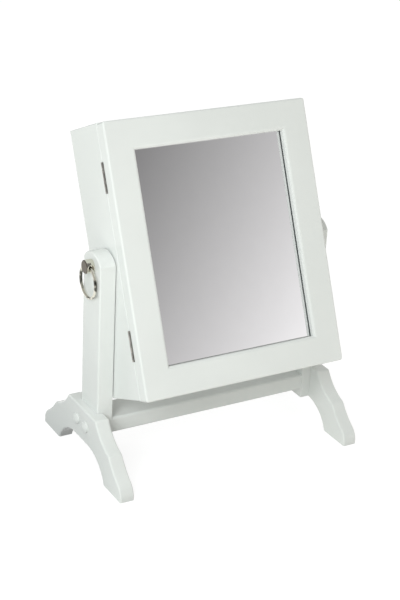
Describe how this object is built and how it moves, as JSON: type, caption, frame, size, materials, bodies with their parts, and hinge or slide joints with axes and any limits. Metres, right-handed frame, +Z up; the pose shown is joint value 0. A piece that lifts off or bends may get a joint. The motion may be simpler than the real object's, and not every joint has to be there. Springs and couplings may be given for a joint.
{
  "type": "table-top jewelry cabinet",
  "caption": "White table-top jewellery cabinet with a framed mirror door, tilting between posts on scrolled legs, with a ring pull on its left pivot.",
  "frame": {"origin": "on the floor, in the middle between the legs", "axes": "+Z up, +X to the right seen from the front, +Y from the mirrored front to the back"},
  "size_m": [0.3026, 0.1928, 0.3722],
  "materials": {
    "white_paint": "satin",
    "white_board": "satin",
    "cap_plastic": "satin",
    "bare_wood": "matte",
    "steel": "satin",
    "screw_steel": "satin",
    "nickel": "polished",
    "hinge_nickel": "satin",
    "clip_steel": "satin",
    "washer_nylon": "matte",
    "catch_plastic": "satin",
    "velvet": "matte",
    "ring_velvet": "matte",
    "mirror": "polished",
    "backing_board": "matte"
  },
  "bodies": {
    "stand": {"left_leg": "white_paint", "right_leg": "white_paint", "left_post": "white_paint", "right_post": "white_paint", "stretcher": "white_paint", "stretcher_bolts": "steel", "bolt_caps": "cap_plastic"},
    "cabinet": {"left_side": "white_paint", "right_side": "white_paint", "top_panel": "white_paint", "bottom_panel": "white_paint", "back_panel": "white_board", "panel_dowels": "bare_wood", "upper_lining": "velvet", "lower_lining": "velvet", "shelf": "white_paint", "shelf_lip": "white_paint", "shelf_divider": "white_paint", "bottom_lip": "white_paint", "bottom_divider": "white_paint", "ring_roll_1": "ring_velvet", "ring_roll_2": "ring_velvet", "ring_roll_3": "ring_velvet", "ring_roll_4": "ring_velvet", "necklace_rail": "white_paint", "necklace_hooks": "nickel", "catch_case": "catch_plastic", "catch_magnet": "steel", "catch_screws": "screw_steel", "left_tee_nut": "steel", "right_tee_nut": "steel", "left_washer": "washer_nylon", "right_washer": "washer_nylon", "lower_hinge_cabinet_leaf": "hinge_nickel", "upper_hinge_cabinet_leaf": "hinge_nickel", "lower_hinge_pin": "hinge_nickel", "upper_hinge_pin": "hinge_nickel", "cabinet_leaf_screws": "screw_steel"},
    "door": {"door_left_stile": "white_paint", "door_right_stile": "white_paint", "door_bottom_rail": "white_paint", "door_top_rail": "white_paint", "mirror": "mirror", "mirror_backing": "backing_board", "backing_clips": "clip_steel", "clip_screws": "screw_steel", "strike_plate": "steel", "strike_screw": "screw_steel", "lower_hinge_door_leaf": "hinge_nickel", "upper_hinge_door_leaf": "hinge_nickel", "door_leaf_screws": "screw_steel"},
    "left_knob": {"left_pivot_knob": "nickel"},
    "right_knob": {"right_pivot_knob": "nickel"},
    "left_ring": {"left_ring": "nickel"}
  },
  "joints": [
    {"name": "cabinet_tilt", "type": "hinge", "parent": "stand", "child": "cabinet", "pos_m": [0, 0, 0.22754], "axis": [-1, 0, 0], "range_deg": [-23.8, 66.2]},
    {"name": "door_swing", "type": "hinge", "parent": "cabinet", "child": "door", "pos_m": [-0.1196, -0.02237, 0.2374], "axis": [0, -0.4035, -0.915], "range_deg": [0, 100]},
    {"name": "left_knob_turn", "type": "hinge", "parent": "stand", "child": "left_knob", "pos_m": [-0.1425, 0, 0.22754], "axis": [1, 0, 0], "continuous": true},
    {"name": "right_knob_turn", "type": "hinge", "parent": "stand", "child": "right_knob", "pos_m": [0.1425, 0, 0.22754], "axis": [1, 0, 0], "continuous": true},
    {"name": "left_ring_swing", "type": "hinge", "parent": "left_knob", "child": "left_ring", "pos_m": [-0.1425, 0, 0.22754], "axis": [0, 1, 0], "range_deg": [-2, 170]}
  ]
}
